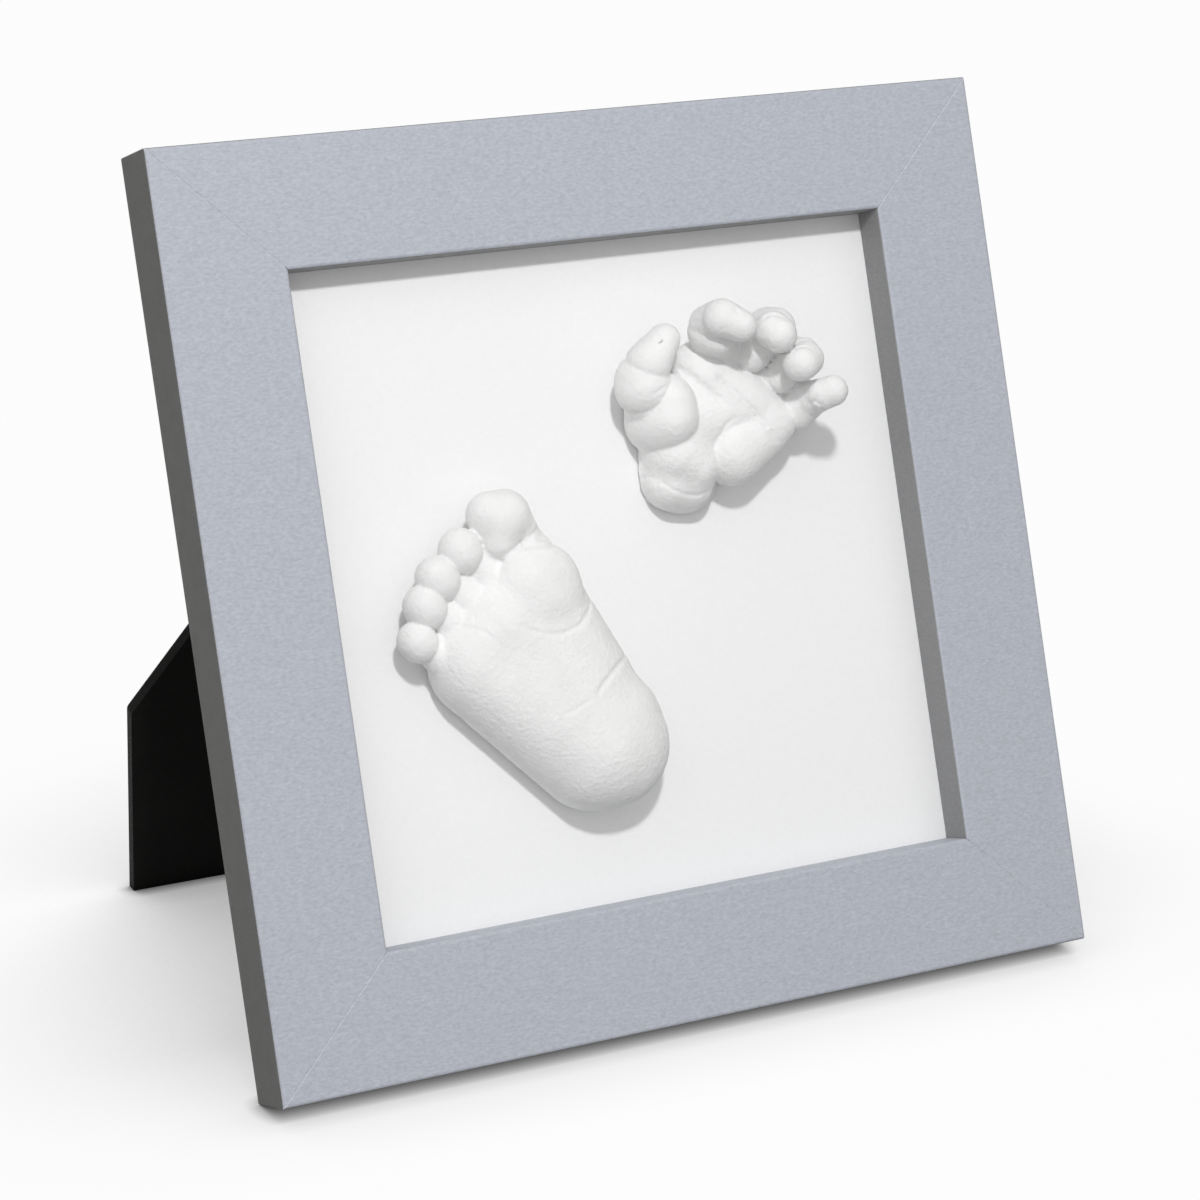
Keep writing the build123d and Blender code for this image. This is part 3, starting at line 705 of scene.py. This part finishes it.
def limb_mesh(start, end, start_radius, end_radius, flatness, back):
    """Two balls under one skin, flattened towards the board and cut off at the cast's back."""
    bpy.ops.object.select_all(action="DESELECT")
    balls = ((start, start_radius), (end, end_radius))
    for index, (centre, radius) in enumerate(balls):
        bpy.ops.mesh.primitive_uv_sphere_add(
            segments=24, ring_count=12, radius=radius * MM, location=[value * MM for value in centre]
        )
        if index == 0:
            limb = settle(bpy.context.active_object)
            bpy.ops.object.mode_set(mode="EDIT")
    bpy.ops.mesh.select_all(action="SELECT")
    bpy.ops.mesh.convex_hull()
    middle = (start + end) / 2 * MM
    bpy.ops.transform.resize(value=(1.0, 1.0 / flatness, 1.0), center_override=middle)
    bpy.ops.mesh.bisect(
        plane_co=(0.0, back * MM, 0.0), plane_no=(0.0, 1.0, 0.0), use_fill=True, clear_outer=True
    )
    bpy.ops.object.mode_set(mode="OBJECT")
    return limb


def model_cast(name, limb_table, fold_table, bead_table, place, settings):
    """Skins every limb, joins them in one mesh, and presses that onto the blended shape of the cast."""
    sizes = settings.keepsake_sizes
    casts = settings.keepsake_casts
    limbs = []
    for softness, start, end, flatness in limb_table.values():
        ends = place(*start[:3], sizes), place(*end[:3], sizes)
        limbs.append((softness, *ends, start[3], end[3], flatness))
    folds = []
    for depth, width, line in fold_table.values():
        folds.append((depth, width, [place(*point, 0.0, sizes)[[0, 2]] for point in line]))
    back = (sizes.lip_depth - casts.glue) / MM
    heights = np.arange(0.0, CAST_TOP, BEAD_STEP)
    beads = []
    for along, across, radius in bead_table.values():
        column = np.array([place(along, across, height, sizes) for height in heights])
        beads.append((lying_on(limbs, folds, back, column), radius))
    pieces = [limb_mesh(*limb[1:], back) for limb in limbs]
    only(pieces[0])
    for piece in pieces:
        piece.select_set(True)
    bpy.ops.object.join()
    cast = new_piece(name)
    modified(cast, "REMESH", mode="VOXEL", voxel_size=casts.grain * COARSE_GRAIN)
    pressed_to_shape(cast, casts.rounds, limbs, (), (), back)
    modified(cast, "REMESH", mode="VOXEL", voxel_size=casts.grain)
    pressed_to_shape(cast, casts.rounds, limbs, folds, beads, back)
    skin = bpy.data.textures.new(name + "_skin", "CLOUDS")
    skin.noise_scale = casts.skin_scale
    skin.noise_depth = 3
    modified(cast, "DISPLACE", texture=skin, texture_coords="LOCAL", strength=casts.skin, mid_level=0.5)
    bpy.ops.object.shade_smooth()
    cast.data.transform(standing(sizes))
    return cast


class KEEPSAKE_OT_rail_wraps(bpy.types.Operator):
    """Fold the grey paper wrap round the front of the four rails and mitre it"""

    bl_idname = "keepsake.rail_wraps"
    bl_label = "Rail wraps"
    bl_options = {"REGISTER", "UNDO"}

    def paper_for(self, way):
        """Which of a wrap's papers a face has, by the way it faces: front, outside or inside with painted
        shade, or cut edge with a painted highlight.
        """
        if way.y < -HIGHLIGHT_SHARE and abs(way.x) > HIGHLIGHT_SHARE:
            return EDGE_HIGHLIGHT_PAPER
        if abs(way.y) > FRONT_SHARE:
            return FRONT_PAPER
        return OUTER_SHADE_PAPER if way.z < 0.0 else INNER_SHADE_PAPER

    def execute(self, context):
        sizes = context.scene.keepsake_sizes
        half = sizes.side / 2
        bpy.ops.object.select_all(action="DESELECT")
        bpy.ops.mesh.primitive_plane_add(
            size=1.0, location=(0.0, 0.0, sizes.rail_face / 2), rotation=(math.pi / 2, 0.0, 0.0)
        )
        strip = new_piece("bottom_wrap")
        strip.scale = (sizes.side, sizes.rail_face, 1.0)
        settle(strip)
        bpy.ops.object.mode_set(mode="EDIT")
        for height, depth in ((0.0, sizes.rail_depth), (sizes.rail_face, sizes.lip_depth)):
            pick_edges(strip, lambda co: abs(co.z - height) < SAME_PLACE and abs(co.y) < SAME_PLACE)
            bpy.ops.mesh.extrude_region_move(TRANSFORM_OT_translate={"value": (0.0, depth, 0.0)})
        folds = (0.0, sizes.rail_face)
        pick_edges(
            strip, lambda co: abs(co.y) < SAME_PLACE and any(abs(co.z - fold) < SAME_PLACE for fold in folds)
        )
        bpy.ops.mesh.bevel(offset=sizes.edge_round, segments=5, profile=0.5, affect="EDGES")
        bpy.ops.mesh.select_all(action="SELECT")
        bpy.ops.mesh.normals_make_consistent(inside=False)
        bpy.ops.object.mode_set(mode="OBJECT")
        widest = max(strip.data.polygons, key=lambda face: face.area)
        if widest.normal.y > 0.0:
            bpy.ops.object.mode_set(mode="EDIT")
            bpy.ops.mesh.flip_normals()
            bpy.ops.object.mode_set(mode="OBJECT")
        modified(strip, "SOLIDIFY", thickness=sizes.wrap_thick, offset=-1.0, use_even_offset=True)
        bpy.ops.object.mode_set(mode="EDIT")
        for side in (-1.0, 1.0):
            bpy.ops.mesh.select_all(action="SELECT")
            bpy.ops.mesh.bisect(
                plane_co=(side * half, 0.0, 0.0), plane_no=(-side, 0.0, -1.0), use_fill=True, clear_inner=True
            )
        bpy.ops.object.mode_set(mode="OBJECT")
        modified(
            strip, "BEVEL", width=sizes.mitre_slope, segments=1, limit_method="ANGLE", angle_limit=SHARP_ANGLE
        )
        bpy.ops.object.shade_smooth_by_angle(angle=WRAP_SMOOTH_ANGLE)
        modified(strip, "WEIGHTED_NORMAL", keep_sharp=True)
        colours = context.scene.keepsake_finishes
        paper = wrap_paper("grey_wrap_paper", colours.wrap)
        # The wrap paper in lit and shaded copies: painted shade on the outside and inside, a painted
        # highlight on the mitre edges.
        shaded_side_paper = wrap_paper("grey_wrap_shaded_side", colours.wrap_shaded_side)
        shaded_inner_paper = wrap_paper("grey_wrap_shaded_inside", colours.wrap_shaded_inner)
        highlight_edge_paper = wrap_paper("grey_wrap_highlight_edge", colours.wrap_highlight_edge)
        papers = [self.paper_for(face.normal) for face in strip.data.polygons]
        stand = standing(sizes)
        middle = Matrix.Translation((0.0, 0.0, half))
        for turns in range(len(RAIL_SIDES) - 1, -1, -1):
            side = RAIL_SIDES[turns]
            turn = middle @ Matrix.Rotation(turns * math.pi / 2, 4, "Y") @ middle.inverted()
            if turns:
                wrap = placed_copy(strip, side + "_wrap", stand @ turn)
            else:
                wrap = strip
                wrap.data.transform(stand)
            dressed(wrap, paper, "grey_wrap", "frame", side + "_rail_wrap")
            wrap.data.materials.append(shaded_side_paper)
            # The bottom rail's inner wall faces up towards the light and keeps the front's tone; the other
            # rails' inner walls take the painted shade.
            wrap.data.materials.append(shaded_inner_paper if turns else paper)
            wrap.data.materials.append(highlight_edge_paper)
            wrap.data.polygons.foreach_set("material_index", papers)
        return {"FINISHED"}


class KEEPSAKE_OT_strut_and_hardware(bpy.types.Operator):
    """Round the edges of the strut, its hinge, the hanger and the small fixings"""

    bl_idname = "keepsake.strut_and_hardware"
    bl_label = "Strut and hardware"
    bl_options = {"REGISTER", "UNDO"}

    def execute(self, context):
        sizes = context.scene.keepsake_sizes
        colours = context.scene.keepsake_finishes
        steel = brushed_steel(colours)
        softened("strut", "strut_board", sizes.board_round, black_board(colours), "black_board", "strut")
        for node, body in (
            ("hinge_panel_leaf", "frame"),
            ("hinge_panel_rivets", "frame"),
            ("hinge_strut_leaf", "strut"),
            ("hinge_strut_rivets", "strut"),
            ("sawtooth_hanger", "frame"),
            ("hanger_nails", "frame"),
        ):
            softened(node, node + "_steel", sizes.metal_round, steel, "steel", body)
        return {"FINISHED"}


class KEEPSAKE_OT_board_and_cores(bpy.types.Operator):
    """Give the board, the back panel, the bare rail cores and the driven fixings their finishes"""

    bl_idname = "keepsake.board_and_cores"
    bl_label = "Board and cores"
    bl_options = {"REGISTER", "UNDO"}

    def execute(self, context):
        colours = context.scene.keepsake_finishes
        steel = brushed_steel(colours)
        fibre = bare_fibreboard(colours)
        glue = set_glue(colours)
        finishes = {side + "_rail": fibre for side in RAIL_SIDES}
        finishes.update(display_board=white_card(colours), back_panel=black_board(colours))
        finishes.update(corner_v_nails=steel, framing_points=steel, hinge_pin=steel)
        finishes.update(foot_glue_pads=glue, hand_glue_pads=glue)
        for node, material in finishes.items():
            slots = frame["nodes"][node].data.materials
            slots.clear()
            slots.append(material)
        return {"FINISHED"}


class KEEPSAKE_OT_foot_cast(bpy.types.Operator):
    """Model the plaster cast of the foot"""

    bl_idname = "keepsake.foot_cast"
    bl_label = "Foot cast"
    bl_options = {"REGISTER", "UNDO"}

    def execute(self, context):
        cast = model_cast("foot_plaster", FOOT_LIMBS, FOOT_FOLDS, FOOT_BEADS, on_foot, context.scene)
        dressed(cast, white_plaster(context.scene.keepsake_finishes), "plaster", "frame", "foot_cast")
        return {"FINISHED"}


class KEEPSAKE_OT_hand_cast(bpy.types.Operator):
    """Model the plaster cast of the hand"""

    bl_idname = "keepsake.hand_cast"
    bl_label = "Hand cast"
    bl_options = {"REGISTER", "UNDO"}

    def execute(self, context):
        cast = model_cast("hand_plaster", HAND_LIMBS, HAND_FOLDS, HAND_BEADS, on_board, context.scene)
        dressed(cast, white_plaster(context.scene.keepsake_finishes), "plaster", "frame", "hand_cast")
        return {"FINISHED"}


class KEEPSAKE_OT_stage(bpy.types.Operator):
    """Set the floor, the lamp, the surroundings and the camera"""

    bl_idname = "keepsake.stage"
    bl_label = "Stage"
    bl_options = {"REGISTER", "UNDO"}

    def floor(self, stage):
        """A wide pale floor that looks white, with soft shadows painted into its white glow by how closed in
        each place is.
        """
        bpy.ops.object.select_all(action="DESELECT")
        bpy.ops.mesh.primitive_plane_add(size=FLOOR_WIDTH)
        floor = new_piece("floor")
        material = bpy.data.materials.new("pale_floor")
        material.use_nodes = True
        tree = material.node_tree
        tree.nodes.clear()
        output = tree.nodes.new("ShaderNodeOutputMaterial")
        matte = tree.nodes.new("ShaderNodeBsdfDiffuse")
        tree.links.new(toned(tree, noise(tree, 40.0), stage.floor, 0.99, 1.01), matte.inputs["Color"])
        near = self.shadow(tree, stage.contact)
        wide = self.shadow(tree, stage.shade)
        white = tree.nodes.new("ShaderNodeEmission")
        tree.links.new(near.outputs["Color"], white.inputs["Color"])
        tree.links.new(self.behind(tree, wide.outputs["AO"], stage), white.inputs["Strength"])
        mix = tree.nodes.new("ShaderNodeMixShader")
        tree.links.new(self.seen(tree, FLOOR_WHITE), mix.inputs["Fac"])
        tree.links.new(matte.outputs["BSDF"], mix.inputs[1])
        tree.links.new(white.outputs["Emission"], mix.inputs[2])
        tree.links.new(mix.outputs["Shader"], output.inputs["Surface"])
        floor.data.materials.append(material)

    def shadow(self, tree, reach):
        """How much of the open space around a place on the floor is free, out to this reach."""
        free = tree.nodes.new("ShaderNodeAmbientOcclusion")
        free.samples = SHADOW_SAMPLES
        free.inputs["Distance"].default_value = reach
        return free

    def behind(self, tree, free, stage):
        """The wide painted shadow, which comes in from the frame's front to its back."""
        place = tree.nodes.new("ShaderNodeTexCoord")
        apart = tree.nodes.new("ShaderNodeSeparateXYZ")
        tree.links.new(place.outputs["Object"], apart.inputs["Vector"])
        light = tree.nodes.new("ShaderNodeMapRange")
        light.inputs["To Min"].default_value = 1.0
        back = spread(tree, apart.outputs["Y"], stage.shade_starts, stage.shade_full, 0.0, 1.0)
        tree.links.new(back, light.inputs["Value"])
        tree.links.new(free, light.inputs["To Max"])
        return light.outputs["Result"]

    def seen(self, tree, share):
        """This share for rays from the camera, also by way of metal or glass, and nothing for the rest."""
        path = tree.nodes.new("ShaderNodeLightPath")
        direct = tree.nodes.new("ShaderNodeMath")
        direct.operation = "MAXIMUM"
        tree.links.new(path.outputs["Is Camera Ray"], direct.inputs[0])
        tree.links.new(path.outputs["Is Glossy Ray"], direct.inputs[1])
        every = tree.nodes.new("ShaderNodeMath")
        every.operation = "MAXIMUM"
        tree.links.new(direct.outputs["Value"], every.inputs[0])
        tree.links.new(path.outputs["Is Transmission Ray"], every.inputs[1])
        part = tree.nodes.new("ShaderNodeMath")
        part.operation = "MULTIPLY"
        part.inputs[1].default_value = share
        tree.links.new(every.outputs["Value"], part.inputs[0])
        return part.outputs["Value"]

    def surroundings(self, stage, front):
        """A wide soft light before the frame and little behind it, seen as white."""
        world = bpy.data.worlds.new("studio")
        world.use_nodes = True
        bpy.context.scene.world = world
        tree = world.node_tree
        tree.nodes.clear()
        output = tree.nodes.new("ShaderNodeOutputWorld")
        soft = tree.nodes.new("ShaderNodeBackground")
        ways = tree.nodes.new("ShaderNodeTexCoord")
        facing = tree.nodes.new("ShaderNodeVectorMath")
        facing.operation = "DOT_PRODUCT"
        facing.inputs[1].default_value = front
        tree.links.new(ways.outputs["Generated"], facing.inputs[0])
        ramp = tree.nodes.new("ShaderNodeValToRGB")
        ramp.color_ramp.elements[1].position = 0.5
        ramp.color_ramp.elements[0].color = (*stage.dim_side, 1.0)
        ramp.color_ramp.elements[1].color = (*stage.bright_side, 1.0)
        tree.links.new(facing.outputs["Value"], ramp.inputs["Fac"])
        tree.links.new(ramp.outputs["Color"], soft.inputs["Color"])
        white = tree.nodes.new("ShaderNodeBackground")
        white.inputs["Color"].default_value = (0.99, 0.99, 0.99, 1.0)
        mix = tree.nodes.new("ShaderNodeMixShader")
        tree.links.new(self.seen(tree, 1.0), mix.inputs["Fac"])
        tree.links.new(soft.outputs["Background"], mix.inputs[1])
        tree.links.new(white.outputs["Background"], mix.inputs[2])
        tree.links.new(mix.outputs["Shader"], output.inputs["Surface"])

    def lamp(self, name, place, target, size, power):
        """A square soft lamp that looks at a point."""
        bpy.ops.object.light_add(type="AREA", location=place)
        lamp = bpy.context.active_object
        lamp.name = name
        lamp.data.size = size
        lamp.data.energy = power
        lamp.rotation_euler = (target - place).to_track_quat("-Z", "Y").to_euler()

    def execute(self, context):
        scene = context.scene
        stage = scene.keepsake_stage
        sizes = scene.keepsake_sizes
        stand = standing(sizes)
        self.floor(stage)
        self.surroundings(stage, stand.to_3x3() @ Vector(stage.bright_way).normalized())
        middle = stand @ Vector((0.0, 0.0, sizes.side / 2))
        level = math.cos(stage.key_tilt)
        outward = Vector((
            level * math.sin(stage.key_side), -level * math.cos(stage.key_side), math.sin(stage.key_tilt)
        ))
        to_key = stand.to_3x3() @ outward
        self.lamp("key_lamp", middle + to_key * stage.key_far, middle, stage.key_size, stage.key_power)
        place = stand @ Vector(stage.camera_at)
        aim = stand @ Vector(stage.camera_aim)
        bpy.ops.object.camera_add(location=place)
        camera = context.active_object
        camera.name = "photo_camera"
        view = (aim - place).to_track_quat("-Z", "Y").to_matrix()
        camera.rotation_euler = (view @ Matrix.Rotation(stage.camera_roll, 3, "Z")).to_euler()
        camera.data.sensor_width = 36.0
        camera.data.lens = stage.lens
        camera.data.clip_start = 0.01
        scene.camera = camera
        scene.view_settings.view_transform = "Standard"
        return {"FINISHED"}


class KEEPSAKE_PT_panel(bpy.types.Panel):
    """Lists the pieces and the sizes and colours behind them"""

    bl_idname = "KEEPSAKE_PT_panel"
    bl_label = "Keepsake frame"
    bl_space_type = "VIEW_3D"
    bl_region_type = "UI"
    bl_category = "Keepsake"

    def draw(self, context):
        for operator in OPERATORS:
            self.layout.operator(operator.bl_idname)
        for group in GROUPS:
            settings = getattr(context.scene, group)
            for setting in settings.bl_rna.properties:
                if not setting.is_readonly and setting.identifier != "name":
                    self.layout.prop(settings, setting.identifier)


GROUPS = {
    "keepsake_sizes": FrameSizes,
    "keepsake_casts": CastSizes,
    "keepsake_finishes": Finishes,
    "keepsake_stage": StageSettings,
}
OPERATORS = (
    KEEPSAKE_OT_stage,
    KEEPSAKE_OT_rail_wraps,
    KEEPSAKE_OT_board_and_cores,
    KEEPSAKE_OT_strut_and_hardware,
    KEEPSAKE_OT_foot_cast,
    KEEPSAKE_OT_hand_cast,
)


def register():
    """Adds the settings, the operators and the panel."""
    for name, group in GROUPS.items():
        bpy.utils.register_class(group)
        setattr(bpy.types.Scene, name, PointerProperty(type=group))
    for operator in OPERATORS:
        bpy.utils.register_class(operator)
    bpy.utils.register_class(KEEPSAKE_PT_panel)


def unregister():
    """Takes them away again."""
    bpy.utils.unregister_class(KEEPSAKE_PT_panel)
    for operator in reversed(OPERATORS):
        bpy.utils.unregister_class(operator)
    for name, group in GROUPS.items():
        delattr(bpy.types.Scene, name)
        bpy.utils.unregister_class(group)


def main():
    """Builds every piece."""
    register()
    bpy.ops.keepsake.stage()
    bpy.ops.keepsake.rail_wraps()
    bpy.ops.keepsake.board_and_cores()
    bpy.ops.keepsake.strut_and_hardware()
    bpy.ops.keepsake.foot_cast()
    bpy.ops.keepsake.hand_cast()


if __name__ == "__main__":
    main()
